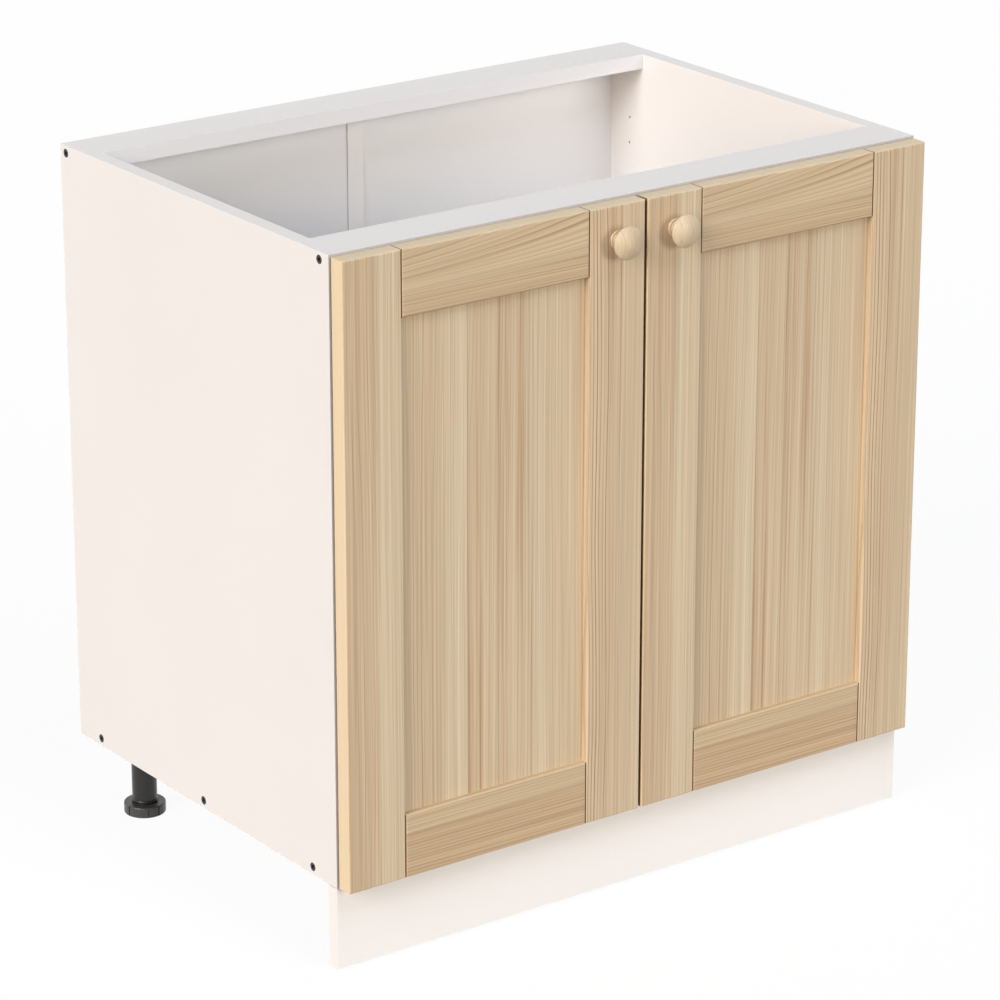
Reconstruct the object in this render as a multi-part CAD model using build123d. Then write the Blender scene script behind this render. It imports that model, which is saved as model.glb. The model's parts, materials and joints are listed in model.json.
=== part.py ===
from build123d import *
import math
import os

# Kitchen base cabinet with two frame-and-panel doors
# Millimetres, +Z up, the doors face -Y, the origin is under the middle of the cabinet's box, on the floor

# Carcass boards
cabinet_width = 800.0
carcass_height = 720.0
carcass_depth = 540.0
board = 18.0
top_rail_depth = 62.0
back_thickness = 3.0
back_inset = 1.5
leg_height = 100.0

# Joint strip between the two back panels, an H in section
strip_width = 22.5
strip_lip = 1.5
strip_web = 1.6

# Confirmat screws that join the boards
confirmat_length = 50.0
confirmat_head_radius = 5.0
confirmat_head_height = 3.0
confirmat_head_land = 0.6
confirmat_shank_radius = 3.4
confirmat_core_radius = 2.6
confirmat_shank_length = 12.0
confirmat_tip = 3.0
confirmat_socket_radius = 2.4
confirmat_socket_depth = 2.5
bottom_screw_inset = 47.0
front_rail_screw_inset = 17.5
rear_rail_screw_inset = 11.0

# Dowels beside the rail screws
dowel_radius = 4.0
dowel_length = 30.0
dowel_in_side = 11.0
dowel_spacing = 26.0
dowel_end_play = 0.5

# Nails that hold the back panels
nail_radius = 0.8
nail_length = 20.0
nail_head_radius = 2.2
nail_head_height = 0.8
nails_per_side = 5
nails_per_row = 3
nail_end_margin = 60.0

# Loose shelf and its pins
shelf_front_setback = 22.0
shelf_rear_gap = 5.0
shelf_side_gap = 1.5
shelf_height = 340.0
hole_line_inset = 37.0
pin_hole_pitch = 32.0
pin_hole_count = 3
pin_radius = 2.5
pin_in_side = 9.0
pin_reach = 9.0
pin_collar_radius = 4.0
pin_collar_width = 1.2
pin_end_play = 1.0

# Doors
door_gap = 2.0
door_thickness = 20.0
side_reveal = 2.0
middle_gap = 4.0
top_reveal = 2.5
bottom_reveal = 0.5
stile_width = 75.0
rail_width = 75.0
panel_recess = 8.0
panel_thickness = 7.0
groove_depth = 10.0
groove_clearance = 0.1
panel_float = 1.0
tenon_setback = 16.0
tenon_end_play = 0.5
seam_chamfer = 1.8
edge_round = 1.5

# Turned knobs
knob_drop = 38.0
knob_projection = 27.0
knob_base_radius = 10.0
knob_base_height = 2.5
knob_base_bulge = 0.6
knob_neck_radius = 7.5
knob_head_radius = 19.0
knob_rim_height = 19.0
knob_rim_round = 2.5
knob_underside_angle = 70.0
knob_screw_radius = 2.0
knob_screw_in_knob = 13.0
knob_screw_end_play = 0.5
knob_screw_head_radius = 4.5
knob_screw_head_height = 2.2

# Bump pads behind the doors
pad_radius = 4.0
pad_clearance = 0.2
pad_edge_inset = 18.0

# Concealed hinges, seen in plan from the side panel's inner front corner
hinge_end_distance = 100.0
cup_radius = 17.5
cup_wall = 0.9
cup_depth = 11.7
cup_edge_distance = 3.0
cup_flange = 1.0
cup_flange_width = 2.0
cup_ear_offset = 6.0
cup_ear_radius = 6.0
cup_screw_spacing = 48.0
cup_boss_gap = 1.0
cup_boss_radius = 3.2
arm_pin_inward = 14.0
arm_pin_back = 8.0
cup_pin_from_edge = 10.0
cup_pin_depth = 3.0
hinge_pin_radius = 1.5
running_clearance = 0.05
link_width = 12.0
link_thickness = 3.2
link_eye_radius = 3.0
link_knee_inward = 2.0
link_knee_forward = 10.0
link_knee_round = 5.0
arm_side_clearance = 0.4
arm_sheet = 1.5
arm_nose_radius = 4.5
arm_low_edge = 5.5
arm_shoulder_back = 17.0
arm_neck_back = 30.0
arm_end_back = 62.0
arm_rivet = 0.5
plate_rib_height = 12.0
plate_rib_front = 26.0
plate_wing_height = 3.5
plate_wing_radius = 7.0
plate_hole_spacing = 32.0
plate_rib_clearance = 0.3
arm_screw_setback = 10.0
arm_screw_spacing = 16.0
arm_screw_length = 10.0

# Wood screws of the fittings
screw_core_radius = 1.5
screw_head_radius = 3.4
screw_head_height = 2.0
screw_length = 14.0
screw_clearance = 0.05

# Adjustable legs
leg_side_inset = 59.0
leg_rear_inset = 43.0
leg_front_inset = 50.0
socket_plate = 62.0
socket_plate_thickness = 5.0
socket_plate_corner = 8.0
socket_boss_radius = 18.0
socket_boss_height = 22.0
socket_screw_inset = 9.0
tube_radius = 14.8
tube_clearance = 0.1
tube_bead_radius = 15.8
tube_bead_height = 4.0
bead_roundness = 0.4
tube_bore_radius = 10.7
tube_bore_depth = 48.0
foot_radius = 24.8
foot_height = 13.0
foot_edge = 1.5
foot_groove_width = 1.6
foot_groove_depth = 1.2
foot_lobes = 4
foot_lobe_angle = 58.0
foot_turn = 39.0
foot_shoulder_radius = 13.0
foot_shoulder_height = 1.2
foot_stem_clearance = 0.1
foot_stem_length = 32.0

# Plinth board and its clips
plinth_thickness = 16.0
plinth_floor_gap = 3.0
plinth_top_gap = 1.0
clip_plate_width = 46.0
clip_plate_height = 30.0
clip_plate_thickness = 3.0
clip_jaw_thickness = 2.6
clip_jaw_clearance = 0.3
clip_jaw_past_axis = 6.0
clip_jaw_height = 18.0
clip_socket_gap = 6.0
clip_screw_spacing = 18.0
clip_screw_length = 10.0

# How near two places have to be to count as one
same_place = 0.001

# Places that follow from the sizes
overall_depth = knob_projection + door_thickness + door_gap + carcass_depth + back_thickness + strip_lip
front = -overall_depth / 2 + knob_projection + door_thickness + door_gap
rear = front + carcass_depth
half_width = cabinet_width / 2
inner_half = half_width - board
floor_top = leg_height + board
top = leg_height + carcass_height
rail_underside = top - board
door_back = front - door_gap
door_front = door_back - door_thickness
clip_jaw_top = leg_height - socket_plate_thickness - socket_boss_height - clip_socket_gap
clip_centre_height = clip_jaw_top - clip_jaw_height / 2
door_left = -half_width + side_reveal
door_right = -middle_gap / 2
door_low = leg_height + bottom_reveal
door_high = top - top_reveal
hinge_levels = (leg_height + hinge_end_distance, top - hinge_end_distance)
hole_lines = (front + hole_line_inset, rear - hole_line_inset)
leg_places = {
    "front_left": (-half_width + leg_side_inset, front + leg_front_inset),
    "front_right": (half_width - leg_side_inset, front + leg_front_inset),
    "rear_left": (-half_width + leg_side_inset, rear - leg_rear_inset),
    "rear_right": (half_width - leg_side_inset, rear - leg_rear_inset),
}


def block(x0, x1, y0, y1, z0, z1):
    """A box between two corners."""
    return Pos(x0, y0, z0) * Box(x1 - x0, y1 - y0, z1 - z0, align=(Align.MIN, Align.MIN, Align.MIN))


def rod(start, direction, length, radius):
    """A round bar from a point, along a direction."""
    plane = Plane(origin=start, z_dir=direction)
    return extrude(plane * Circle(radius), length)


def turned(points, start, direction):
    """A turned piece: a half outline of (radius, height) points about the direction, from a point."""
    outline = make_face(Polyline(*[(radius, 0, height) for radius, height in points], close=True))
    return Plane(origin=start, z_dir=direction) * revolve(outline, Axis.Z)


def edges_at(shape, axis, **place):
    """The straight edges along an axis whose middle lies at the given coordinates."""
    found = shape.edges().filter_by(axis)
    for name, value in place.items():
        letter = name.upper()
        found = found.filter_by(lambda edge: abs(getattr(edge.center(), letter) - value) < same_place)
    return found


def mirrored(shape):
    """The same piece on the other side of the cabinet."""
    return mirror(shape, about=Plane.YZ)


# Fasteners
def confirmat(start, direction, clearance=0.0):
    """A confirmat screw with its head's face at the start, or the hole for it."""
    shank = confirmat_shank_radius + clearance
    core = confirmat_core_radius + clearance
    end = confirmat_length + clearance
    head = confirmat_head_radius + clearance
    screw = turned([(0, 0), (head, 0), (head, confirmat_head_land), (shank, confirmat_head_height),
                    (shank, confirmat_shank_length), (core, confirmat_shank_length),
                    (core, end - confirmat_tip), (core / 2, end), (0, end)], start, direction)
    if clearance:
        return screw
    socket = Plane(origin=start, z_dir=direction) * RegularPolygon(confirmat_socket_radius, 6)
    return screw - extrude(socket, confirmat_socket_depth)


def wood_screw(start, direction, length=screw_length, clearance=0.0):
    """A countersunk screw with its head's face at the start, or the hole for it."""
    head = screw_head_radius + clearance
    core = screw_core_radius + clearance
    end = length + clearance
    return turned([(0, 0), (head, 0), (core, screw_head_height), (core, end), (0, end)], start, direction)


def confirmat_places():
    """Head places on the left side panel: three along the bottom, one at each top rail."""
    low = leg_height + board / 2
    high = top - board / 2
    bottom_row = (front + bottom_screw_inset, (front + rear) / 2, rear - bottom_screw_inset)
    rail_row = (front + front_rail_screw_inset, rear - rear_rail_screw_inset)
    return [(-half_width, y, low) for y in bottom_row] + [(-half_width, y, high) for y in rail_row]


def dowel_places():
    """The dowels of the left ends of the two top rails."""
    high = top - board / 2
    front_dowel = front + front_rail_screw_inset + dowel_spacing
    rear_dowel = rear - rear_rail_screw_inset - dowel_spacing
    return [(-inner_half - dowel_in_side, y, high) for y in (front_dowel, rear_dowel)]


def nail_places():
    """The nails of the left back panel, on its outer face."""
    outer = rear + back_thickness
    span = carcass_height - 2 * nail_end_margin
    column = [leg_height + nail_end_margin + span * i / (nails_per_side - 1) for i in range(nails_per_side)]
    row_span = inner_half - 2 * nail_end_margin
    row = [-inner_half + nail_end_margin + row_span * i / (nails_per_row - 1) for i in range(nails_per_row)]
    places = [(-half_width + board / 2, outer, z) for z in column]
    return places + [(x, outer, z) for x in row for z in (leg_height + board / 2, top - board / 2)]


def nail(place, clearance=0.0):
    """A flat-headed nail driven towards the front, or the hole for its shank."""
    shank = rod(place, (0, -1, 0), nail_length + clearance, nail_radius + clearance)
    if clearance:
        return shank
    return shank + rod(place, (0, 1, 0), nail_head_height, nail_head_radius)


confirmat_bores = [confirmat(place, (1, 0, 0), screw_clearance) for place in confirmat_places()]
dowel_bore_length = dowel_length + 2 * dowel_end_play
dowel_bores = [rod((x - dowel_end_play, y, z), (1, 0, 0), dowel_bore_length, dowel_radius + screw_clearance)
               for x, y, z in dowel_places()]
nail_bores = [nail(place, screw_clearance) for place in nail_places()]


def both_sides(shapes):
    """Shapes of the left side together with their copies on the right."""
    return shapes + [mirrored(shape) for shape in shapes]


# Carcass
def shelf_hole_levels():
    """Heights of the shelf-pin holes: the middle one carries the shelf."""
    middle = leg_height + shelf_height - pin_radius
    return [middle + (i - (pin_hole_count - 1) / 2) * pin_hole_pitch for i in range(pin_hole_count)]


def side_panel():
    """The left side with its screw, dowel, nail, hinge-plate and shelf-pin holes, alike at front and rear."""
    panel = block(-half_width, -inner_half, front, rear, leg_height, top)
    holes = confirmat_bores + dowel_bores + nail_bores
    pilot_depth = screw_length - plate_wing_height + screw_clearance
    pilot_radius = screw_core_radius + screw_clearance
    pilot_levels = [level + side * plate_hole_spacing / 2 for level in hinge_levels for side in (-1, 1)]
    for y in hole_lines:
        for level in pilot_levels:
            holes.append(rod((-inner_half, y, level), (-1, 0, 0), pilot_depth, pilot_radius))
        for level in shelf_hole_levels():
            depth = pin_in_side + pin_end_play
            holes.append(rod((-inner_half, y, level), (-1, 0, 0), depth, pin_radius + screw_clearance))
    return panel - holes


def bottom_panel():
    """The floor of the cabinet, between the sides."""
    panel = block(-inner_half, inner_half, front, rear, leg_height, floor_top)
    return panel - both_sides(confirmat_bores + nail_bores) - [
        wood_screw(place, (0, 0, 1), clearance=screw_clearance) for place in socket_screw_places()]


def top_rail(y0):
    """A flat rail across the top."""
    rail = block(-inner_half, inner_half, y0, y0 + top_rail_depth, rail_underside, top)
    return rail - both_sides(confirmat_bores + dowel_bores + nail_bores)


def back_panel():
    """The left half of the back, on the rear edges of the carcass."""
    panel = block(-half_width + back_inset, -strip_web / 2 - groove_clearance, rear, rear + back_thickness,
                  leg_height + back_inset, top - back_inset)
    return panel - nail_bores


def joint_strip():
    """The strip that joins the back panels: a lip inside, a web between them and a lip outside."""
    low = leg_height + back_inset
    high = top - back_inset
    lip = strip_width / 2
    outside = rear + back_thickness
    inner = block(-lip, lip, rear - strip_lip, rear, floor_top, rail_underside)
    web = block(-strip_web / 2, strip_web / 2, rear, outside, low, high)
    return inner + web + block(-lip, lip, outside, outside + strip_lip, low, high)


def shelf():
    """The loose shelf, lying on its pins."""
    edge = inner_half - shelf_side_gap
    low = leg_height + shelf_height
    return block(-edge, edge, front + shelf_front_setback, rear - shelf_rear_gap, low, low + board)


def shelf_pin(y):
    """A pin in the left side with a collar against the board."""
    level = leg_height + shelf_height - pin_radius
    pin = rod((-inner_half - pin_in_side, y, level), (1, 0, 0), pin_in_side + pin_reach, pin_radius)
    collar = rod((-inner_half, y, level), (1, 0, 0), pin_collar_width, pin_collar_radius)
    under_shelf = block(-half_width, 0, front, rear, level + pin_radius, top)
    return pin + collar - under_shelf


# Doors
panel_front = door_front + panel_recess
panel_back = panel_front + panel_thickness
knob_place = (door_right - stile_width / 2, door_high - knob_drop)


def groove(x0, x1, z0, z1):
    """The slot that takes the panel and the tenons."""
    return block(x0, x1, panel_front - groove_clearance, panel_back + groove_clearance, z0, z1)


def stile(x0, inner_x):
    """An upright of the left door: chamfered where it meets the rails, rounded on its other front edges."""
    x1 = x0 + stile_width
    outer_x = x0 if inner_x == x1 else x1
    upright = block(x0, x1, door_front, door_back, door_low, door_high)
    upright = chamfer(edges_at(upright, Axis.Z, x=inner_x, y=door_front), seam_chamfer)
    outer = edges_at(upright, Axis.Z, x=outer_x, y=door_front)
    upright = fillet(outer + edges_at(upright, Axis.X, y=door_front), edge_round)
    slot_x = (inner_x - groove_depth, inner_x) if inner_x == x1 else (inner_x, inner_x + groove_depth)
    stop = tenon_setback - tenon_end_play
    return upright - groove(*slot_x, door_low + stop, door_high - stop)


def cup_centre_x():
    """Middle of the hinge cups of the left door."""
    return door_left + cup_edge_distance + cup_radius


def hinge_stile():
    """The outer upright, bored for the cups and their screws."""
    upright = stile(door_left, door_left + stile_width)
    for level in hinge_levels:
        cup_place = (cup_centre_x(), door_back, level)
        upright -= rod(cup_place, (0, -1, 0), cup_depth + screw_clearance, cup_radius + screw_clearance)
        for place in cup_screw_places(level):
            upright -= wood_screw(place, (0, -1, 0), clearance=screw_clearance)
    return upright


def knob_stile():
    """The inner upright, drilled for the knob's screw."""
    upright = stile(door_right - stile_width, door_right - stile_width)
    x, z = knob_place
    return upright - rod((x, door_front, z), (0, 1, 0), door_thickness, knob_screw_radius + screw_clearance)


def door_rail(low, inner_z):
    """A rail between the stiles with a tenon at each end and a slot for the panel."""
    x0 = door_left + stile_width
    x1 = door_right - stile_width
    high = low + rail_width
    outer_z = low if inner_z == high else high
    rail = block(x0, x1, door_front, door_back, low, high)
    seams = edges_at(rail, Axis.Z, y=door_front) + edges_at(rail, Axis.X, y=door_front, z=inner_z)
    rail = chamfer(seams, seam_chamfer)
    rail = fillet(edges_at(rail, Axis.X, y=door_front, z=outer_z), edge_round)
    slot_z = (inner_z - groove_depth, inner_z) if inner_z == high else (inner_z, inner_z + groove_depth)
    rail -= groove(x0, x1, *slot_z)
    tenon_z = (low + tenon_setback, slot_z[0]) if inner_z == high else (slot_z[1], high - tenon_setback)
    reach = groove_depth - tenon_end_play
    for start, end in ((x0 - reach, x0), (x1, x1 + reach)):
        rail += block(start, end, panel_front, panel_back, *tenon_z)
    return rail


def door_panel():
    """The panel, loose in the slots of the frame."""
    reach = groove_depth - panel_float
    return block(door_left + stile_width - reach, door_right - stile_width + reach, panel_front, panel_back,
                 door_low + rail_width - reach, door_high - rail_width + reach)


def knob():
    """A turned mushroom knob: base disc, hollowed neck and a head with a round rim and a flatter crown."""
    x, z = knob_place
    rim_centre = Vector(knob_head_radius - knob_rim_round, knob_rim_height)
    crown_rise = knob_projection - knob_rim_height - knob_rim_round
    crown_drop = (rim_centre.X ** 2 - crown_rise ** 2) / (2 * crown_rise)
    crown_centre = Vector(0, knob_rim_height - crown_drop)
    meeting = rim_centre + (rim_centre - crown_centre).normalized() * knob_rim_round
    crown_angle = math.degrees(math.atan2(meeting.Y - rim_centre.Y, meeting.X - rim_centre.X))
    underside = rim_centre + Vector(knob_rim_round, 0).rotate(Axis.Z, -knob_underside_angle)
    crown_radius = Vector(0, knob_projection - crown_centre.Y)
    crown_side = crown_centre + crown_radius.rotate(Axis.Z, (crown_angle - 90) / 2)
    with BuildSketch() as outline:
        with BuildLine():
            start = Line((0, 0), (knob_base_radius, 0))
            base = ThreePointArc(start @ 1, (knob_base_radius + knob_base_bulge, knob_base_height / 2),
                                 (knob_base_radius, knob_base_height))
            step = Line(base @ 1, (knob_neck_radius, knob_base_height))
            neck = TangentArc(step @ 1, underside, tangent=(0, 1))
            rim = ThreePointArc(neck @ 1, (knob_head_radius, knob_rim_height), meeting)
            crown = ThreePointArc(rim @ 1, crown_side, (0, knob_projection))
            Line(crown @ 1, (0, 0))
        make_face()
    body = revolve(outline.sketch, Axis.Y)
    bore_depth = knob_screw_in_knob + knob_screw_end_play
    bore = rod((0, 0, 0), (0, 1, 0), bore_depth, knob_screw_radius + screw_clearance)
    return Pos(x, door_front, z) * Rot(0, 0, 180) * (body - bore)


def knob_screw():
    """The screw that holds the knob, through the stile from behind."""
    x, z = knob_place
    shank = rod((x, door_back, z), (0, -1, 0), door_thickness + knob_screw_in_knob, knob_screw_radius)
    head = rod((x, door_back, z), (0, 1, 0), knob_screw_head_height, knob_screw_head_radius)
    rim = head.edges().filter_by(GeomType.CIRCLE).sort_by(Axis.Y)[-1]
    return shank + fillet(rim, knob_screw_head_height / 2)


def bump_pads():
    """Two soft pads that meet the edges of the top rail and the bottom panel."""
    levels = (leg_height + board / 2, door_high - board / 2 + top_reveal / 2)
    x = door_right - pad_edge_inset
    return [rod((x, door_back, z), (0, 1, 0), door_gap - pad_clearance, pad_radius) for z in levels]


# Concealed hinges of the left door
arm_pin = (-inner_half + arm_pin_inward, front + arm_pin_back)
cup_pin = (door_left + cup_pin_from_edge, door_back - cup_pin_depth)
link_knee = (-inner_half + link_knee_inward, front - link_knee_forward)
cheek_inside = link_width / 2 + arm_side_clearance
cheek_outside = cheek_inside + arm_sheet


def standing(sketch, low, high):
    """A plan outline raised between two heights."""
    return extrude(Plane.XY.offset(low) * sketch, high - low)


def pin_hole(pin):
    """The hole for a hinge pin, in plan."""
    return Pos(*pin) * Circle(hinge_pin_radius + running_clearance)


def cup_screw_places(level):
    """Heads of a cup's two screws, on its flange."""
    x = cup_centre_x() + cup_ear_offset
    return [(x, door_back + cup_flange, level + side * cup_screw_spacing / 2) for side in (-1, 1)]


def hinge_cup(level):
    """A pressed cup with a flange, two screw ears and two bosses that hold its pin."""
    x = cup_centre_x()
    centre = (x, door_back, level)
    inside = cup_radius - cup_wall
    bowl = rod(centre, (0, -1, 0), cup_depth, cup_radius)
    hollow = rod(centre, (0, -1, 0), cup_depth - cup_wall, inside)
    flange = rod(centre, (0, 1, 0), cup_flange, cup_radius + cup_flange_width)
    ears = SlotCenterToCenter(cup_screw_spacing, 2 * cup_ear_radius, rotation=90)
    ear_plane = Plane(origin=(x + cup_ear_offset, door_back, level), x_dir=(1, 0, 0), z_dir=(0, 1, 0))
    flange += extrude(ear_plane * ears, cup_flange)
    mouth = rod(centre, (0, 1, 0), cup_flange, inside)
    bosses = []
    for side in (-1, 1):
        inner_end = level + side * (link_width / 2 + cup_boss_gap)
        boss = standing(Pos(*cup_pin) * Circle(cup_boss_radius), inner_end, level + side * cup_radius)
        bosses.append(boss & hollow)
    cup = bowl + flange - hollow - mouth + bosses
    cup -= standing(pin_hole(cup_pin), level - cup_pin_half, level + cup_pin_half)
    for place in cup_screw_places(level):
        cup -= wood_screw(place, (0, -1, 0), clearance=screw_clearance)
    return cup


cup_pin_offset = cup_centre_x() - cup_pin[0]
cup_pin_half = math.sqrt((cup_radius - cup_wall) ** 2 - cup_pin_offset ** 2) - cup_wall


def hinge_link(level):
    """The bent link between the arm's pin and the cup's pin, which reaches round the door's corner."""
    path = FilletPolyline(cup_pin, link_knee, arm_pin, radius=link_knee_round)
    strip = trace(path, link_thickness)
    for pin in (cup_pin, arm_pin):
        strip += Pos(*pin) * Circle(link_eye_radius)
    strip -= [pin_hole(pin) for pin in (cup_pin, arm_pin)]
    return standing(strip, level - link_width / 2, level + link_width / 2)


def arm_outline():
    """The arm's cheek in plan: a round nose at the pin, a raised neck and a low straight tail."""
    x0 = -inner_half
    high = plate_rib_height + arm_sheet
    nose_x, nose_y = arm_pin
    shoulder = (nose_x + arm_nose_radius, front + arm_shoulder_back)
    neck = (x0 + high, front + arm_neck_back)
    end = front + arm_end_back
    with BuildSketch() as outline:
        with BuildLine():
            crest = Polyline((x0 + arm_low_edge, end), (x0 + high, end), neck, shoulder,
                             (nose_x + arm_nose_radius, nose_y))
            nose = ThreePointArc(crest @ 1, (nose_x, nose_y - arm_nose_radius),
                                 (nose_x - arm_nose_radius, nose_y))
            Polyline(nose @ 1, (nose_x - arm_nose_radius, front + arm_shoulder_back),
                     (x0 + arm_low_edge, front + plate_rib_front), crest @ 0)
        make_face()
    return outline.sketch, (neck, shoulder, end)


def hinge_arm(level):
    """A pressed channel: two cheeks that hold the pin, joined by a web that lies on the mounting plate."""
    cheek, (neck, shoulder, end) = arm_outline()
    x0 = -inner_half
    ahead = arm_pin[1] - 2 * arm_nose_radius
    beside = shoulder[0] + arm_sheet
    room = Polyline((x0, end), (x0 + plate_rib_height, end), (x0 + plate_rib_height, neck[1]),
                    (shoulder[0] - arm_sheet, shoulder[1]), (beside, shoulder[1]), (beside, ahead),
                    (x0, ahead), close=True)
    arm = standing(cheek, level - cheek_outside, level + cheek_outside)
    arm -= standing(make_face(room), level - cheek_inside, level + cheek_inside)
    arm -= standing(pin_hole(arm_pin), level - cheek_outside, level + cheek_outside)
    return arm - arm_screw_holes(level)


def hinge_plate(level):
    """A mounting plate: a rib that the arm lies on, with a wing above and below for its screws."""
    x0 = -inner_half
    half = cheek_inside - plate_rib_clearance
    rib = block(x0, x0 + plate_rib_height, front + plate_rib_front, front + arm_end_back,
                level - half, level + half)
    wing_plane = Plane(origin=(x0, front + hole_line_inset, level), x_dir=(0, 1, 0), z_dir=(1, 0, 0))
    wing_outline = SlotCenterToCenter(plate_hole_spacing, 2 * plate_wing_radius, rotation=90)
    wings = extrude(wing_plane * wing_outline, plate_wing_height)
    holes = [wood_screw(place, (-1, 0, 0), clearance=screw_clearance) for place in plate_screw_places(level)]
    return rib + wings - holes - arm_screw_holes(level)


def plate_screw_places(level):
    """Heads of a mounting plate's screws, on its wings."""
    x = -inner_half + plate_wing_height
    return [(x, front + hole_line_inset, level + side * plate_hole_spacing / 2) for side in (-1, 1)]


def arm_screw_places(level):
    """Heads of the two screws that clamp the arm to its plate."""
    x = -inner_half + plate_rib_height + arm_sheet
    last = front + arm_end_back - arm_screw_setback
    return [(x, last, level), (x, last - arm_screw_spacing, level)]


def arm_screw_holes(level):
    """Holes for those screws, through the arm and into the plate."""
    places = arm_screw_places(level)
    return [wood_screw(place, (-1, 0, 0), arm_screw_length, screw_clearance) for place in places]


def arm_pin_rod(level):
    """The rivet through the arm's cheeks and the link."""
    half = cheek_outside + arm_rivet
    return standing(Pos(*arm_pin) * Circle(hinge_pin_radius), level - half, level + half)


def cup_pin_rod(level):
    """The pin through the cup's bosses and the link."""
    return standing(Pos(*cup_pin) * Circle(hinge_pin_radius), level - cup_pin_half, level + cup_pin_half)


# Adjustable legs
def socket_screw_places():
    """Heads of the four screws of each leg's socket."""
    reach = socket_plate / 2 - socket_screw_inset
    low = leg_height - socket_plate_thickness
    corners = [(i * reach, j * reach) for i in (-1, 1) for j in (-1, 1)]
    return [(x + dx, y + dy, low) for x, y in leg_places.values() for dx, dy in corners]


def leg_socket(x, y):
    """A square plate under the cabinet with a round boss that takes the tube."""
    low = leg_height - socket_plate_thickness
    plate_outline = Pos(x, y) * RectangleRounded(socket_plate, socket_plate, socket_plate_corner)
    plate = standing(plate_outline, low, leg_height)
    boss = rod((x, y, low), (0, 0, -1), socket_boss_height, socket_boss_radius)
    bore = rod((x, y, low), (0, 0, -1), socket_boss_height, tube_radius + tube_clearance)
    holes = [wood_screw(place, (0, 0, 1), clearance=screw_clearance) for place in socket_screw_places()]
    return plate + boss - bore - holes


def leg_tube(x, y):
    """The tube between socket and foot, beaded at its lower end and bored from below for the foot's stem."""
    low = foot_height + foot_shoulder_height
    tube = rod((x, y, low), (0, 0, 1), leg_height - socket_plate_thickness - low, tube_radius)
    bead = rod((x, y, low), (0, 0, 1), tube_bead_height, tube_bead_radius)
    bead = fillet(bead.edges().filter_by(GeomType.CIRCLE), tube_bead_height * bead_roundness)
    return tube + bead - rod((x, y, low), (0, 0, 1), tube_bore_depth, tube_bore_radius)


def leg_foot(x, y):
    """A grooved foot disc with a shoulder that the tube stands on and a stem inside the tube."""
    disc = rod((x, y, 0), (0, 0, 1), foot_height, foot_radius)
    disc = fillet(disc.edges().filter_by(GeomType.CIRCLE), foot_edge)
    groove_cut = block(foot_radius - foot_groove_depth, foot_radius + foot_groove_depth,
                       -foot_groove_width / 2, foot_groove_width / 2, 0, foot_height)
    for lobe in range(foot_lobes):
        for side in (-1, 1):
            angle = foot_turn + 360 * lobe / foot_lobes + side * foot_lobe_angle / 2
            disc -= Pos(x, y) * Rot(0, 0, angle) * groove_cut
    shoulder = rod((x, y, foot_height), (0, 0, 1), foot_shoulder_height, foot_shoulder_radius)
    stem_start = (x, y, foot_height + foot_shoulder_height)
    stem = rod(stem_start, (0, 0, 1), foot_stem_length, tube_bore_radius - foot_stem_clearance)
    return disc + shoulder + stem


# Plinth
def clip_screw_places():
    """Heads of the screws of the two plinth clips."""
    y = front + plinth_thickness + clip_plate_thickness
    levels = [clip_centre_height + side * clip_screw_spacing / 2 for side in (-1, 1)]
    return [(leg_places[leg][0], y, level) for leg in ("front_left", "front_right") for level in levels]


def clip_screw_holes():
    """Holes for those screws, through the clips and into the board."""
    places = clip_screw_places()
    return [wood_screw(place, (0, -1, 0), clip_screw_length, screw_clearance) for place in places]


def plinth_board():
    """The board in front of the legs, flush with the carcass."""
    panel = block(-half_width, half_width, front, front + plinth_thickness,
                  plinth_floor_gap, leg_height - plinth_top_gap)
    return panel - clip_screw_holes()


def plinth_clip(leg):
    """A clip on the back of the plinth board, with two jaws that slide over a front leg."""
    x, y = leg_places[leg]
    back = front + plinth_thickness
    half = clip_plate_width / 2
    clip = block(x - half, x + half, back, back + clip_plate_thickness,
                 clip_centre_height - clip_plate_height / 2, clip_centre_height + clip_plate_height / 2)
    near = tube_radius + clip_jaw_clearance
    for start in (x + near, x - near - clip_jaw_thickness):
        clip += block(start, start + clip_jaw_thickness, back + clip_plate_thickness, y + clip_jaw_past_axis,
                      clip_centre_height - clip_jaw_height / 2, clip_centre_height + clip_jaw_height / 2)
    return clip - clip_screw_holes()


# Nodes
def carcass_nodes():
    """Boards, strip, shelf and the fasteners that hold them."""
    side = side_panel()
    half_back = back_panel()
    pins = [shelf_pin(y) for y in hole_lines]
    dowels = [rod(place, (1, 0, 0), dowel_length, dowel_radius) for place in dowel_places()]
    return {
        "side_panel_left": [side],
        "side_panel_right": [mirrored(side)],
        "bottom_panel": [bottom_panel()],
        "front_top_rail": [top_rail(front)],
        "rear_top_rail": [top_rail(rear - top_rail_depth)],
        "back_panel_left": [half_back],
        "back_panel_right": [mirrored(half_back)],
        "back_joint_strip": [joint_strip()],
        "carcass_screws": both_sides([confirmat(place, (1, 0, 0)) for place in confirmat_places()]),
        "rail_dowels": both_sides(dowels),
        "back_nails": both_sides([nail(place) for place in nail_places()]),
        "shelf": [shelf()],
        "shelf_pins": both_sides(pins),
    }


def leg_nodes():
    """Sockets, tubes and feet, and the plinth that clips to the front pair."""
    nodes = {"leg_sockets": [leg_socket(*place) for place in leg_places.values()]}
    nodes["leg_socket_screws"] = [wood_screw(place, (0, 0, 1)) for place in socket_screw_places()]
    for name, place in leg_places.items():
        nodes["leg_tube_" + name] = [leg_tube(*place)]
        nodes["foot_" + name] = [leg_foot(*place)]
    nodes["plinth_board"] = [plinth_board()]
    for name in ("left", "right"):
        nodes["plinth_clip_" + name] = [plinth_clip("front_" + name)]
    clip_screws = [wood_screw(place, (0, -1, 0), clip_screw_length) for place in clip_screw_places()]
    nodes["plinth_clip_screws"] = clip_screws
    return nodes


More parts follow.
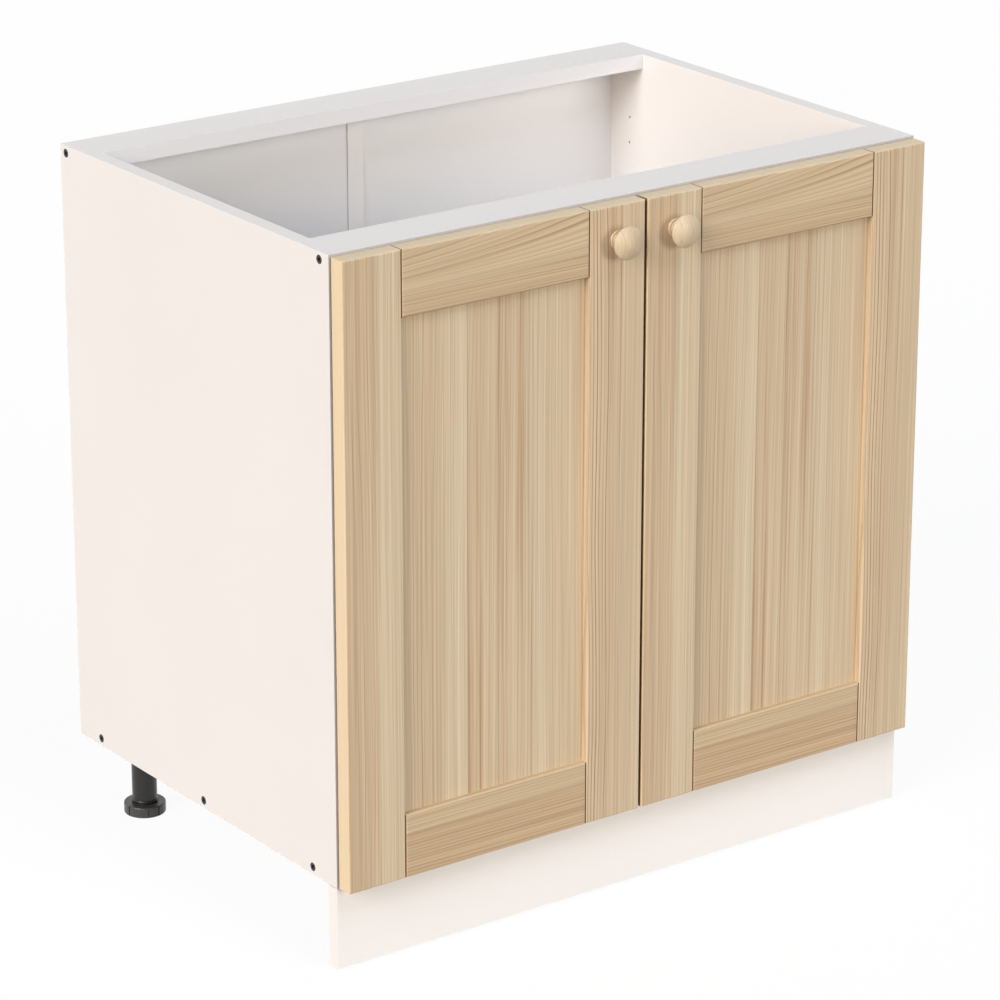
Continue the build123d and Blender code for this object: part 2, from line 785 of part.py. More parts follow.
def left_door_nodes():
    """One door with its knob and pads, and its two hinges."""
    cup_screws = [place for level in hinge_levels for place in cup_screw_places(level)]
    plate_screws = [place for level in hinge_levels for place in plate_screw_places(level)]
    arm_screws = [place for level in hinge_levels for place in arm_screw_places(level)]
    return {
        "hinge_stile": [hinge_stile()],
        "knob_stile": [knob_stile()],
        "top_door_rail": [door_rail(door_high - rail_width, door_high - rail_width)],
        "bottom_door_rail": [door_rail(door_low, door_low + rail_width)],
        "door_panel": [door_panel()],
        "knob": [knob()],
        "knob_screw": [knob_screw()],
        "bump_pads": bump_pads(),
        "hinge_cups": [hinge_cup(level) for level in hinge_levels],
        "hinge_cup_pins": [cup_pin_rod(level) for level in hinge_levels],
        "hinge_cup_screws": [wood_screw(place, (0, -1, 0)) for place in cup_screws],
        "hinge_links": [hinge_link(level) for level in hinge_levels],
        "hinge_arms": [hinge_arm(level) for level in hinge_levels],
        "hinge_arm_pins": [arm_pin_rod(level) for level in hinge_levels],
        "hinge_plates": [hinge_plate(level) for level in hinge_levels],
        "hinge_plate_screws": [wood_screw(place, (-1, 0, 0)) for place in plate_screws]
        + [wood_screw(place, (-1, 0, 0), arm_screw_length) for place in arm_screws],
    }


def all_nodes():
    """Every node of the cabinet and its solids."""
    nodes = carcass_nodes()
    nodes.update(leg_nodes())
    for name, solids in left_door_nodes().items():
        nodes["left_" + name] = solids
        nodes["right_" + name] = [mirrored(solid) for solid in solids]
    return nodes


os.makedirs("parts", exist_ok=True)
for node_name, node_solids in all_nodes().items():
    shape = node_solids[0] if len(node_solids) == 1 else Compound(node_solids)
    export_step(shape, "parts/" + node_name + ".step")
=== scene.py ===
import json
import math

import bpy
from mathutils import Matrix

# Looks of a white kitchen base cabinet with two pine doors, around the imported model
# Metres, +Z up, the doors face -Y

# Door layout that the pine pattern follows: both doors repeat the same boards
door_pitch = 0.4
millimetre = 0.001

# Camera, at the photograph's angle
camera_place = (-2.8359, -3.8987, 2.1363)
camera_azimuth = 36.03
camera_drop = 19.88
camera_lens = 159.15
camera_reach = 200.0
sensor = 36.0

# Studio: floor, and the light that floor and sky give the object
floor_half = 30.0
floor_drop = 0.0005
floor_white_share = 0.94
floor_light_tone = 0.3
sky_strength = 0.01

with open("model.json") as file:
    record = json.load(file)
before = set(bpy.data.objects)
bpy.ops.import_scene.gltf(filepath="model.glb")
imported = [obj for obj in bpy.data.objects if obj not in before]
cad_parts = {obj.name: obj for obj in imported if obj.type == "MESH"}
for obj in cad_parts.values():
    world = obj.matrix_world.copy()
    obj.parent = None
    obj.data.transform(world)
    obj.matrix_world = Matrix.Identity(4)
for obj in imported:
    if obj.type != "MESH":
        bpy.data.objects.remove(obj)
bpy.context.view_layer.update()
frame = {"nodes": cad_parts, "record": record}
bpy.ops.object.select_all(action="DESELECT")


class Wiring:
    """Places nodes in a node tree and joins them."""

    def __init__(self, tree):
        self.tree = tree

    def put(self, kind, inputs=None, **settings):
        """A node with its settings, and its inputs set or joined."""
        made = self.tree.nodes.new(kind)
        for name, value in settings.items():
            setattr(made, name, value)
        for name, value in (inputs or {}).items():
            if isinstance(value, bpy.types.NodeSocket):
                self.tree.links.new(value, made.inputs[name])
            else:
                made.inputs[name].default_value = value
        return made

    def sum(self, operation, first, second=0.0, third=0.0):
        """The result of one step of arithmetic."""
        made = self.put("ShaderNodeMath", {0: first, 1: second, 2: third}, operation=operation)
        return made.outputs[0]

    def noise(self, vector, scale, detail=2.0, roughness=0.5):
        """A noise value between 0 and 1."""
        made = self.put("ShaderNodeTexNoise", {"Vector": vector, "Scale": scale, "Detail": detail,
                                               "Roughness": roughness})
        return made.outputs["Fac"]

    def stretch(self, vector, amounts):
        """A vector with each part multiplied."""
        made = self.put("ShaderNodeVectorMath", {0: vector, 1: amounts}, operation="MULTIPLY")
        return made.outputs[0]

    def fit(self, value, low, high, new_low=0.0, new_high=1.0):
        """A value moved from one range to another and kept inside it."""
        made = self.put("ShaderNodeMapRange", {"Value": value, "From Min": low, "From Max": high,
                                               "To Min": new_low, "To Max": new_high})
        return made.outputs["Result"]

    def blend(self, amount, first, second, kind="MIX"):
        """Two colours mixed by an amount."""
        made = self.put("ShaderNodeMix", data_type="RGBA", blend_type=kind)
        sockets = made.inputs["Factor"], made.inputs[6], made.inputs[7]
        for socket, value in zip(sockets, (amount, first, second)):
            if isinstance(value, bpy.types.NodeSocket):
                self.tree.links.new(value, socket)
            else:
                socket.default_value = value
        return made.outputs[2]

    def parts(self, vector):
        """The three parts of a vector."""
        return self.put("ShaderNodeSeparateXYZ", {"Vector": vector}).outputs

    def vector(self, x, y, z):
        """A vector from its parts."""
        return self.put("ShaderNodeCombineXYZ", {"X": x, "Y": y, "Z": z}).outputs[0]


def rgb(red, green, blue):
    """A colour with full alpha."""
    return (red, green, blue, 1.0)


# Colours of the pine and its edges, of the painted shade in the gap between the doors and in the joints, and
# tints of the rails and knobs
pale_pine = rgb(0.709, 0.594, 0.414)
ruddy_pine = rgb(0.554, 0.397, 0.247)
late_wood_brown = rgb(0.360, 0.195, 0.085)
red_streak = rgb(0.440, 0.250, 0.120)
side_edge_pine = rgb(0.86, 0.690, 0.455)
top_edge_pine = rgb(0.76, 0.625, 0.430)
gap_shade_brown = rgb(0.22, 0.135, 0.070)
joint_shade_brown = rgb(0.15, 0.090, 0.045)
rail_tint = rgb(0.89, 0.860, 0.810)
knob_tint = rgb(0.535, 0.415, 0.280)

# Year rings: their lean through a board, and in metres their ripple, how they wander in stiles, rails and
# knobs, their pitch in knobs, how far from a ring's edge late wood is full and ends, and the grain's relief
ring_lean = 0.35
ring_ripple = 0.0018
stile_wander = 0.030
rail_wander = 0.018
knob_wander = 0.012
knob_ring_pitch = 0.0035
late_wood_full = 0.0003
late_wood_end = 0.0017
grain_relief = 0.00012


def new_group(name, inputs, outputs):
    """An empty node group with named float, vector or colour sockets."""
    group = bpy.data.node_groups.new(name, "ShaderNodeTree")
    for label, kind in inputs:
        group.interface.new_socket(label, in_out="INPUT", socket_type="NodeSocket" + kind)
    for label, kind in outputs:
        group.interface.new_socket(label, in_out="OUTPUT", socket_type="NodeSocket" + kind)
    wiring = Wiring(group)
    source = wiring.put("NodeGroupInput").outputs
    target = wiring.put("NodeGroupOutput").inputs
    return group, wiring, source, target


def pine_group():
    """Pine along its grain: year rings that come and go, drifts of tone, reddish streaks and fine fibres."""
    group, w, source, target = new_group(
        "pine_grain",
        [("Vector", "Vector"), ("Tone", "Float"), ("Rings", "Float"), ("Ring Pitch", "Float"),
         ("Wander", "Float"), ("Red", "Float")],
        [("Color", "Color"), ("Height", "Float")])
    place = source["Vector"]
    across = w.parts(place)
    slanted = w.sum("MULTIPLY_ADD", across["Y"], ring_lean, across["X"])
    bend = w.noise(w.stretch(place, (6.0, 6.0, 1.7)), 1.0, 1.0)
    ripple = w.noise(w.stretch(place, (45.0, 45.0, 10.0)), 1.0, 1.0)
    moved = w.sum("MULTIPLY_ADD", w.sum("SUBTRACT", bend, 0.5), source["Wander"], slanted)
    moved = w.sum("MULTIPLY_ADD", w.sum("SUBTRACT", ripple, 0.5), ring_ripple, moved)
    turns = w.sum("DIVIDE", moved, source["Ring Pitch"])
    ring_number = w.sum("FLOOR", turns)
    year = w.put("ShaderNodeTexWhiteNoise", {"W": ring_number}, noise_dimensions="1D").outputs["Value"]
    to_edge = w.sum("MULTIPLY", w.sum("SUBTRACT", 1.0, w.sum("FRACT", turns)), source["Ring Pitch"])
    late_wood = w.sum("MULTIPLY", w.fit(to_edge, 0.0, late_wood_full),
                      w.fit(to_edge, late_wood_full, late_wood_end, 1.0, 0.0))
    patch = w.noise(w.stretch(place, (18.0, 9.0, 1.6)), 1.0, 2.0)
    seen = w.sum("MULTIPLY", w.fit(year, 0.0, 1.0, 0.25, 1.35), w.fit(patch, 0.34, 0.6, 0.45, 1.0))
    ring_share = w.sum("MULTIPLY", w.sum("MULTIPLY", late_wood, seen), source["Rings"])

    broad = w.noise(w.stretch(place, (36.0, 18.0, 0.7)), 1.0, 2.0, 0.6)
    narrow = w.noise(w.stretch(place, (190.0, 90.0, 1.5)), 1.0, 2.0, 0.6)
    tone = w.sum("MULTIPLY_ADD", w.sum("SUBTRACT", broad, 0.5), 0.55, source["Tone"])
    tone = w.sum("MULTIPLY_ADD", w.sum("SUBTRACT", narrow, 0.5), 0.4, tone)
    body = w.blend(w.fit(tone, 0.0, 1.0), ruddy_pine, pale_pine)
    ringed = w.blend(ring_share, body, late_wood_brown)
    streak = w.noise(w.stretch(place, (170.0, 60.0, 2.4)), 1.0, 2.0)
    red_share = w.sum("MULTIPLY", w.fit(streak, 0.50, 0.66, 0.0, 0.8), source["Red"])
    streaked = w.blend(red_share, ringed, red_streak)
    fibre = w.noise(w.stretch(place, (560.0, 280.0, 2.5)), 1.0, 3.0, 0.7)
    hair = w.noise(w.stretch(place, (950.0, 480.0, 2.2)), 1.0, 1.0)
    shade = w.sum("SUBTRACT", w.fit(fibre, 0.25, 0.75, 0.82, 1.18), w.fit(hair, 0.56, 0.72, 0.0, 0.17))
    shaded = w.blend(1.0, streaked, w.vector(shade, shade, shade), "MULTIPLY")
    w.tree.links.new(shaded, target["Color"])
    w.tree.links.new(w.sum("MULTIPLY_ADD", fibre, 0.6, w.sum("MULTIPLY", ring_share, 0.8)), target["Height"])
    return group


def mottle_group():
    """A slow cloud and a fine grit, for boards, plastics and metal."""
    group, w, source, target = new_group(
        "surface_mottle", [("Vector", "Vector"), ("Cloud Scale", "Float"), ("Grit Scale", "Float")],
        [("Cloud", "Float"), ("Grit", "Float")])
    w.tree.links.new(w.noise(source["Vector"], source["Cloud Scale"], 3.0), target["Cloud"])
    w.tree.links.new(w.noise(source["Vector"], source["Grit Scale"], 2.0), target["Grit"])
    return group


pine_grain = pine_group()
surface_mottle = mottle_group()


def new_material(name):
    """A material with an empty Principled surface."""
    material = bpy.data.materials.new(name)
    material.use_nodes = True
    material.node_tree.nodes.clear()
    w = Wiring(material.node_tree)
    shader = w.put("ShaderNodeBsdfPrincipled")
    surface = w.put("ShaderNodeOutputMaterial")
    w.tree.links.new(shader.outputs[0], surface.inputs["Surface"])
    return material, w, shader.inputs


def roughened(w, shader, height, distance, strength=1.0):
    """Joins a height to the surface's normal."""
    bump = w.put("ShaderNodeBump", {"Height": height, "Distance": distance, "Strength": strength})
    w.tree.links.new(bump.outputs[0], shader["Normal"])


def ramp(w, value, steps):
    """A value that changes in steps: pairs of place and level."""
    made = w.put("ShaderNodeValToRGB", {"Fac": value})
    made.color_ramp.interpolation = "CONSTANT"
    stops = made.color_ramp.elements
    while len(stops) < len(steps):
        stops.new(0.5)
    for stop, (place, level) in zip(stops, steps):
        stop.position = place
        stop.color = rgb(level, level, level)
    return made.outputs["Color"]


# Staves of a door, from the left end of its 400 mm place in millimetres
# Each has its start, tone from ruddy to pale, rings, reddish streaks and ring pitch
door_staves = (
    (0, 0.36, 0.45, 0.25, 4.6), (43, 0.74, 0.28, 0.10, 4.4), (77, 0.58, 0.95, 0.20, 5.2),
    (109, 0.42, 0.45, 0.20, 4.2), (120, 0.52, 0.40, 0.15, 4.4), (134, 0.76, 0.30, 0.05, 4.8),
    (150, 0.84, 0.25, 0.00, 4.4), (165, 0.42, 0.50, 1.00, 5.0), (184, 0.64, 0.40, 0.35, 4.6),
    (206, 0.40, 0.75, 0.45, 4.4), (219, 0.60, 0.60, 0.70, 4.8), (253, 0.72, 0.45, 0.15, 4.2),
    (277, 0.64, 0.35, 0.15, 4.4), (310, 0.48, 0.40, 0.20, 4.2), (323, 0.58, 1.30, 0.10, 4.4),
    (349, 0.40, 0.28, 0.15, 4.4), (365, 0.54, 0.25, 0.10, 4.6),
)

# Shift of the grain along a stave with the stave's tone, in metres
stave_shift = 0.37

# Seams of the staves in millimetres, each with a light line before it and a dark one after it
door_seams = (43, 134, 165, 206, 253, 277, 365)
seam_light_width = 1.2
seam_dark_width = 0.9
seam_light = 1.0
seam_dark = 0.80
between_seams = 0.94

# Bands of the rails, lower and then upper, by height in metres: the same five values as the staves
rail_bands = (
    (0.000, 0.34, 0.50, 0.25, 3.8), (0.148, 0.10, 0.30, 0.60, 6.0), (0.1515, 0.62, 0.35, 0.10, 4.0),
    (0.700, 0.44, 0.80, 0.10, 3.6), (0.768, 0.72, 0.25, 0.10, 5.0), (0.786, 0.62, 0.60, 0.40, 9.0),
    (0.798, 0.58, 0.95, 0.35, 10.0),
)

# Joints between stiles and rails, from the left end of the place in metres, and the reach of their painted
# shade
stile_joints = (0.077, 0.323)
joint_reach = 0.0010

# Slanting arcs of the upper rail: heights where the slope starts and is full, the slope, and where it turns
slope_low = 0.765
slope_high = 0.812
slope_full = 0.15
slope_turn = 0.22

# Reach of the outer edges, height of the doors' middle, the rails' start above and below it,
# heights where the doors' top edge begins, and the depth behind which the doors' meeting edges get painted
# gap shade
outer_reach = 0.006
door_middle = 0.459
rails_begin = 0.2835
top_edge_low = 0.79
top_edge_high = 0.80
gap_begin = -0.2676

# Part of a surface's normal, from where it starts to where it is full, that makes it an edge or a bevel
edge_low = 0.6
edge_high = 0.95
bevel_low = 0.3
bevel_high = 0.5


def pale_edges_and_gap_shade(w, from_left, place, normal, colour):
    """Outer edges are paler than the faces; behind their arris the doors' meeting edges get painted shade,
    the shadow of the gap between the doors.
    """
    x, y, z = w.parts(place)
    sideways, _, upwards = w.parts(normal)
    from_gap = w.sum("ABSOLUTE", x)
    # Painted shade: behind the arris the meeting edges turn dark brown, where the gap between the doors is
    # in shadow
    behind_arris = w.sum("GREATER_THAN", y, gap_begin)
    in_gap_shade = w.sum("MULTIPLY", w.sum("LESS_THAN", from_gap, outer_reach), behind_arris)
    edge_tone = w.blend(in_gap_shade, side_edge_pine, gap_shade_brown)
    from_centre = w.sum("ABSOLUTE", w.sum("SUBTRACT", from_left, door_pitch / 2))
    outer = w.sum("GREATER_THAN", from_centre, door_pitch / 2 - outer_reach)
    facing = w.fit(w.sum("ABSOLUTE", sideways), edge_low, edge_high)
    share = w.sum("MULTIPLY", facing, w.fit(outer, 0.0, 1.0, 0.10, 0.85))
    sided = w.blend(share, colour, edge_tone)
    facing_up = w.fit(upwards, edge_low, edge_high, 0.0, 0.85)
    top_edge = w.sum("MULTIPLY", facing_up, w.fit(z, top_edge_low, top_edge_high))
    return w.blend(top_edge, sided, top_edge_pine)


def painted_joint_shade(w, from_left, place, normal, colour):
    """Painted shade in the joints between stiles and rails: their bevels and tops turn dark brown, where
    shade falls in the grooves.
    """
    z = w.parts(place)["Z"]
    sideways, forwards, upwards = w.parts(normal)
    slanted = w.fit(w.sum("ABSOLUTE", sideways), bevel_low, bevel_high)
    bevel = w.sum("MULTIPLY", slanted, w.fit(forwards, -bevel_high, -bevel_low, 1.0, 0.0))
    open_joint = w.sum("MAXIMUM", bevel, w.fit(upwards, edge_low, edge_high))
    at_rail = w.sum("GREATER_THAN", w.sum("ABSOLUTE", w.sum("SUBTRACT", z, door_middle)), rails_begin)
    apart = [w.sum("ABSOLUTE", w.sum("SUBTRACT", from_left, joint)) for joint in stile_joints]
    depth = w.fit(w.sum("MINIMUM", *apart), 0.6 * joint_reach, joint_reach, 1.0, 0.0)
    # Painted shade: near each joint the bevels and tops turn dark brown, as shade in the groove
    share = w.sum("MULTIPLY", w.sum("MULTIPLY", open_joint, depth), at_rail)
    return w.blend(share, colour, joint_shade_brown)


def door_edge_group():
    """A door's colour with its pale edges, and painted shade in the gap between the doors and in the stile
    and rail joints.
    """
    group, w, source, target = new_group(
        "door_edges_and_painted_shade",
        [("Color", "Color"), ("From Left", "Float"), ("Place", "Vector"), ("Normal", "Vector")],
        [("Color", "Color")])
    where = source["From Left"], source["Place"], source["Normal"]
    w.tree.links.new(painted_joint_shade(w, *where, pale_edges_and_gap_shade(w, *where, source["Color"])), target["Color"])
    return group


door_edges_and_painted_shade = door_edge_group()


def door_place(w):
    """Texture coordinates, X from the left end of either door's place, Y and Z."""
    place = w.put("ShaderNodeTexCoord").outputs
    x, y, z = w.parts(place["Object"])
    from_left = w.sum("ADD", w.sum("WRAP", x, 0.0, -door_pitch), door_pitch)
    return place, from_left, y, z


def door_boards(w, value, boards, unit):
    """Pine inputs that change from board to board, with the boards' starts divided by a unit."""
    tone, rings, red, ring_pitch = (
        ramp(w, value, [(board[0] / unit, board[kind]) for board in boards]) for kind in (1, 2, 3, 4))
    in_metres = w.sum("MULTIPLY", ring_pitch, millimetre)
    return {"Tone": tone, "Rings": rings, "Red": red, "Ring Pitch": in_metres}


def edged(w, place, from_left, colour):
    """A colour with the door's pale edges, and painted shade in its gap and joints."""
    made = w.put("ShaderNodeGroup", {"Color": colour, "From Left": from_left, "Place": place["Object"],
                                     "Normal": place["Normal"]}, node_tree=door_edges_and_painted_shade)
    return made.outputs["Color"]


def pine_surface(w, shader, grain, colour):
    """Clear satin lacquer over pine."""
    w.tree.links.new(colour, shader["Base Color"])
    shine = w.fit(grain.outputs["Height"], 0.0, 1.0, 0.40, 0.56)
    w.tree.links.new(shine, shader["Roughness"])
    shader["Specular IOR Level"].default_value = 0.4
    roughened(w, shader, grain.outputs["Height"], grain_relief, 0.6)


def upright_pine():
    """Stiles and panels: grain upright, glued staves of several tones with fine seams."""
    material, w, shader = new_material("pine_upright")
    place, x, y, z = door_place(w)
    share = w.sum("DIVIDE", x, door_pitch)
    pitch = door_pitch / millimetre
    boards = door_boards(w, share, door_staves, pitch)
    along = w.sum("MULTIPLY_ADD", boards["Tone"], stave_shift, z)
    grain = w.put("ShaderNodeGroup", {"Vector": w.vector(x, y, along), "Wander": stile_wander, **boards},
                  node_tree=pine_grain)
    seam_steps = [(0.0, between_seams)]
    for seam in door_seams:
        seam_steps += [((seam - seam_light_width) / pitch, seam_light), (seam / pitch, seam_dark),
                       ((seam + seam_dark_width) / pitch, between_seams)]
    seamed = w.blend(1.0, grain.outputs["Color"], ramp(w, share, seam_steps), "MULTIPLY")
    pine_surface(w, shader, grain, edged(w, place, x, seamed))
    return material


def level_pine():
    """Rails: grain along the rail, with slanting arcs in the top of the upper rail."""
    material, w, shader = new_material("pine_level")
    place, x, y, z = door_place(w)
    slope = w.fit(z, slope_low, slope_high, 0.0, slope_full)
    height = w.sum("SUBTRACT", z, w.sum("MULTIPLY", slope, w.sum("SUBTRACT", x, slope_turn)))
    boards = door_boards(w, height, rail_bands, 1.0)
    grain = w.put("ShaderNodeGroup", {"Vector": w.vector(height, y, x), "Wander": rail_wander, **boards},
                  node_tree=pine_grain)
    shaded = w.blend(1.0, grain.outputs["Color"], rail_tint, "MULTIPLY")
    pine_surface(w, shader, grain, edged(w, place, x, shaded))
    return material


def knob_pine():
    """Turned knobs: paler wood with close upright grain."""
    material, w, shader = new_material("pine_knob")
    _, x, y, z = door_place(w)
    grain = w.put("ShaderNodeGroup", {"Vector": w.vector(x, y, z), "Tone": 0.75, "Rings": 0.45, "Red": 0.1,
                                      "Ring Pitch": knob_ring_pitch, "Wander": knob_wander},
                  node_tree=pine_grain)
    pine_surface(w, shader, grain, w.blend(0.45, grain.outputs["Color"], knob_tint))
    return material


def mottle_of(w, vector, cloud_scale, grit_scale):
    """A cloud from 0 to 1 for the colour, and grit for roughness and relief."""
    mottle = w.put("ShaderNodeGroup", {"Vector": vector, "Cloud Scale": cloud_scale,
                                       "Grit Scale": grit_scale}, node_tree=surface_mottle)
    return w.fit(mottle.outputs["Cloud"], 0.3, 0.7), mottle.outputs["Grit"]


def gritty(w, shader, colour, grit, roughness, bump):
    """Joins a colour to the surface, with gritty roughness and relief."""
    low, high = roughness
    w.tree.links.new(colour, shader["Base Color"])
    w.tree.links.new(w.fit(grit, 0.25, 0.75, low, high), shader["Roughness"])
    roughened(w, shader, grit, bump)


def front_darkened_board(name, front_tone):
    """White board with a faint drift of tone, and a darker tone on the face that looks forwards: on the
    carcass boards' front edges it is painted shade, where the doors shade them.
    """
    material, w, shader = new_material(name)
    place = w.put("ShaderNodeTexCoord").outputs
    cloud, grit = mottle_of(w, place["Object"], 5.0, 700.0)
    white = w.blend(cloud, rgb(0.825, 0.795, 0.770), rgb(0.840, 0.810, 0.785))
    forwards = w.fit(w.parts(place["Normal"])["Y"], -0.6, -0.3, 1.0, 0.0)
    gritty(w, shader, w.blend(forwards, white, front_tone), grit, (0.34, 0.46), 0.00002)
    return material


def mottled(name, dark, pale, cloud_scale, grit_scale, roughness, bump, metallic=0.0):
    """A surface whose colour drifts between two tones."""
    material, w, shader = new_material(name)
    place = w.put("ShaderNodeTexCoord").outputs["Object"]
    cloud, grit = mottle_of(w, place, cloud_scale, grit_scale)
    gritty(w, shader, w.blend(cloud, dark, pale), grit, roughness, bump)
    shader["Metallic"].default_value = metallic
    return material


def hardboard():
    """Back panels: white lacquer inside, bare brown fibre board behind."""
    material, w, shader = new_material("back_hardboard")
    place = w.put("ShaderNodeTexCoord").outputs
    cloud, grit = mottle_of(w, place["Object"], 6.0, 900.0)
    fibre = w.noise(w.stretch(place["Object"], (300.0, 300.0, 90.0)), 1.0, 4.0, 0.7)
    brown = w.blend(w.fit(fibre, 0.3, 0.7), rgb(0.20, 0.115, 0.060), rgb(0.33, 0.205, 0.115))
    white = w.blend(cloud, rgb(0.86, 0.87, 0.89), rgb(0.875, 0.885, 0.905))
    behind = w.sum("GREATER_THAN", w.parts(place["Normal"])["Y"], 0.5)
    gritty(w, shader, w.blend(behind, white, brown), grit, (0.42, 0.60), 0.00003)
    return material


def joint_strip():
    """The strip between the back panels: white plastic, with painted shade on its sides, the shadow lines
    along its edges.
    """
    material, w, shader = new_material("white_strip")
    place = w.put("ShaderNodeTexCoord").outputs
    cloud, grit = mottle_of(w, place["Object"], 9.0, 1200.0)
    white = w.blend(cloud, rgb(0.900, 0.900, 0.905), rgb(0.915, 0.915, 0.920))
    # Painted shadow: the strip's sides turn dark grey, where its edges cast shadow lines on the back
    sideways = w.fit(w.sum("ABSOLUTE", w.parts(place["Normal"])["X"]), 0.3, 0.6)
    gritty(w, shader, w.blend(sideways, white, rgb(0.36, 0.35, 0.34)), grit, (0.38, 0.50), 0.00001)
    return material


finishes = {
    "white_board": mottled("white_melamine", rgb(0.880, 0.850, 0.820), rgb(0.895, 0.865, 0.835),
                           5.0, 700.0, (0.34, 0.46), 0.00002),
    # Painted shade: the front edges of the side panels, front rail, bottom and shelf are darker, where the
    # doors shade them
    "front_darkened_board": front_darkened_board("white_board_painted_front_shade", rgb(0.50, 0.475, 0.45)),
    "rear_rail_board": front_darkened_board("white_rear_rail", rgb(0.735, 0.735, 0.755)),
    "back_board": hardboard(),
    "strip_plastic": joint_strip(),
    "upright": upright_pine(),
    "level": level_pine(),
    "knob_wood": knob_pine(),
    "dowel_wood": mottled("beech_dowel", rgb(0.56, 0.36, 0.20), rgb(0.66, 0.46, 0.28),
                          300.0, 1500.0, (0.55, 0.7), 0.00004),
    "leg_plastic": mottled("black_leg_plastic", rgb(0.008, 0.007, 0.006), rgb(0.012, 0.011, 0.010),
                           60.0, 1600.0, (0.24, 0.36), 0.00002),
    "foot_plastic": mottled("black_foot_plastic", rgb(0.042, 0.042, 0.042), rgb(0.052, 0.052, 0.052),
                            60.0, 1600.0, (0.26, 0.38), 0.00002),
    "plated_steel": mottled("nickel_steel", rgb(0.56, 0.55, 0.52), rgb(0.66, 0.65, 0.62),
                            120.0, 2500.0, (0.22, 0.36), 0.000008, 1.0),
    "dark_screw": mottled("blackened_screw", rgb(0.020, 0.018, 0.017), rgb(0.045, 0.042, 0.040),
                          400.0, 2500.0, (0.32, 0.5), 0.00001, 0.4),
    "pad_rubber": mottled("soft_pad", rgb(0.60, 0.60, 0.58), rgb(0.68, 0.68, 0.66),
                          200.0, 1800.0, (0.5, 0.65), 0.00001),
}


def finish_of(node, slot):
    """The finish of a CAD node: by its slot, and for pine by the way the grain runs."""
    if slot == "pine":
        return finishes["level" if node.endswith("door_rail") else "upright"]
    if node.startswith("foot_"):
        return finishes["foot_plastic"]
    if node == "carcass_screws":
        return finishes["dark_screw"]
    if node == "rear_top_rail":
        return finishes["rear_rail_board"]
    # These boards get painted shade on their front edges
    if node in ("side_panel_left", "side_panel_right", "front_top_rail", "bottom_panel", "shelf"):
        return finishes["front_darkened_board"]
    return finishes[slot]


for subpart in frame["record"]["subparts"]:
    node = frame["nodes"][subpart["node"]]
    node.data.materials.clear()
    node.data.materials.append(finish_of(subpart["node"], subpart["material_slot"]))


# Floor, light and camera
def looked_at(w):
    """1 for rays from the camera, in reflections or through glass, 0 for rays that light the object."""
    rays = w.put("ShaderNodeLightPath").outputs
    mirrored = w.sum("MAXIMUM", rays["Is Glossy Ray"], rays["Is Transmission Ray"])
    return w.sum("MAXIMUM", rays["Is Camera Ray"], mirrored)


bpy.ops.mesh.primitive_plane_add(size=2 * floor_half, location=(0, 0, -floor_drop))
floor = bpy.context.object
floor.name = "studio_floor"
floor_material = bpy.data.materials.new("studio_white")
floor_material.use_nodes = True
floor_material.node_tree.nodes.clear()
floor_wiring = Wiring(floor_material.node_tree)
floor_seen = looked_at(floor_wiring)
floor_glow = floor_wiring.put("ShaderNodeEmission", {"Color": rgb(1, 1, 1), "Strength": 1.0})
floor_grey = rgb(floor_light_tone, floor_light_tone, floor_light_tone)
floor_tone = floor_wiring.blend(floor_seen, floor_grey, rgb(1, 1, 1))
floor_paint = floor_wiring.put("ShaderNodeBsdfDiffuse", {"Color": floor_tone})
floor_mix = floor_wiring.put("ShaderNodeMixShader",
                             {0: floor_wiring.sum("MULTIPLY", floor_seen, floor_white_share),
                              1: floor_paint.outputs[0], 2: floor_glow.outputs[0]})
floor_below = floor_wiring.put("ShaderNodeNewGeometry").outputs["Backfacing"]
floor_clear = floor_wiring.put("ShaderNodeBsdfTransparent")
floor_side = floor_wiring.put("ShaderNodeMixShader",
                              {0: floor_below, 1: floor_mix.outputs[0], 2: floor_clear.outputs[0]})
floor_wiring.put("ShaderNodeOutputMaterial", {"Surface": floor_side.outputs[0]})
floor.data.materials.append(floor_material)

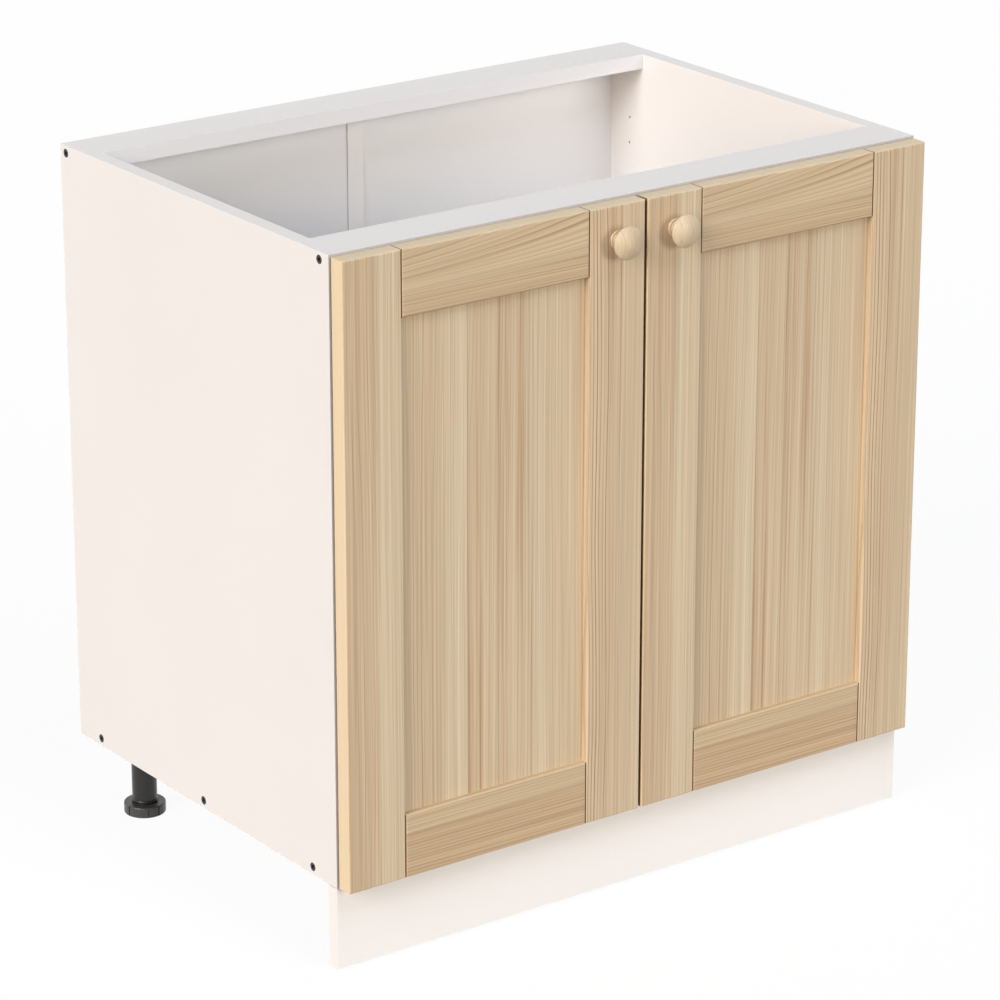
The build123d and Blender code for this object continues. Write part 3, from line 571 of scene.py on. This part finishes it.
world = bpy.data.worlds.new("studio_sky")
bpy.context.scene.world = world
world.use_nodes = True
world.node_tree.nodes.clear()
sky = Wiring(world.node_tree)
sky_seen = looked_at(sky)
sky_white = sky.put("ShaderNodeBackground", {"Color": rgb(1, 1, 1), "Strength": 1.0})
sky_light = sky.put("ShaderNodeBackground", {"Color": rgb(0.94, 0.97, 1.0), "Strength": sky_strength})
sky_mix = sky.put("ShaderNodeMixShader", {0: sky_seen, 1: sky_light.outputs[0], 2: sky_white.outputs[0]})
sky.put("ShaderNodeOutputWorld", {"Surface": sky_mix.outputs[0]})


def sunlight(name, azimuth, height, spread, strength, colour):
    """A broad distant lamp: degrees from the front to the left, degrees above the floor, and its width."""
    lamp = bpy.data.lights.new(name, "SUN")
    lamp.energy = strength
    lamp.angle = math.radians(spread)
    lamp.color = colour
    stand = bpy.data.objects.new(name, lamp)
    bpy.context.scene.collection.objects.link(stand)
    stand.rotation_euler = (math.radians(90.0 - height), 0.0, math.radians(-azimuth))


sunlight("left_key", 75.0, 30.0, 30.0, 2.17, (1.0, 0.99, 1.0))
sunlight("left_middle", 54.0, 15.0, 25.0, 0.71, (1.0, 0.80, 0.62))
sunlight("left_low", 75.0, 12.0, 40.0, 0.60, (1.0, 0.88, 0.73))
sunlight("front_high", -8.0, 58.0, 30.0, 0.91, (0.73, 0.83, 1.0))
sunlight("front_fill", -8.0, 15.0, 24.0, 1.44, (1.0, 0.97, 0.92))
sunlight("right_fill", -95.0, 5.0, 40.0, 1.10, (0.90, 0.95, 1.0))
sunlight("rear_fill", 150.0, 18.0, 40.0, 0.35, (0.90, 0.95, 1.0))

camera_data = bpy.data.cameras.new("camera")
camera_data.lens = camera_lens
camera_data.sensor_width = sensor
camera_data.clip_end = camera_reach
camera = bpy.data.objects.new("camera", camera_data)
bpy.context.scene.collection.objects.link(camera)
camera.location = camera_place
camera.rotation_euler = (math.radians(90.0 - camera_drop), 0.0, math.radians(-camera_azimuth))
bpy.context.scene.camera = camera
bpy.context.scene.view_settings.view_transform = "Standard"
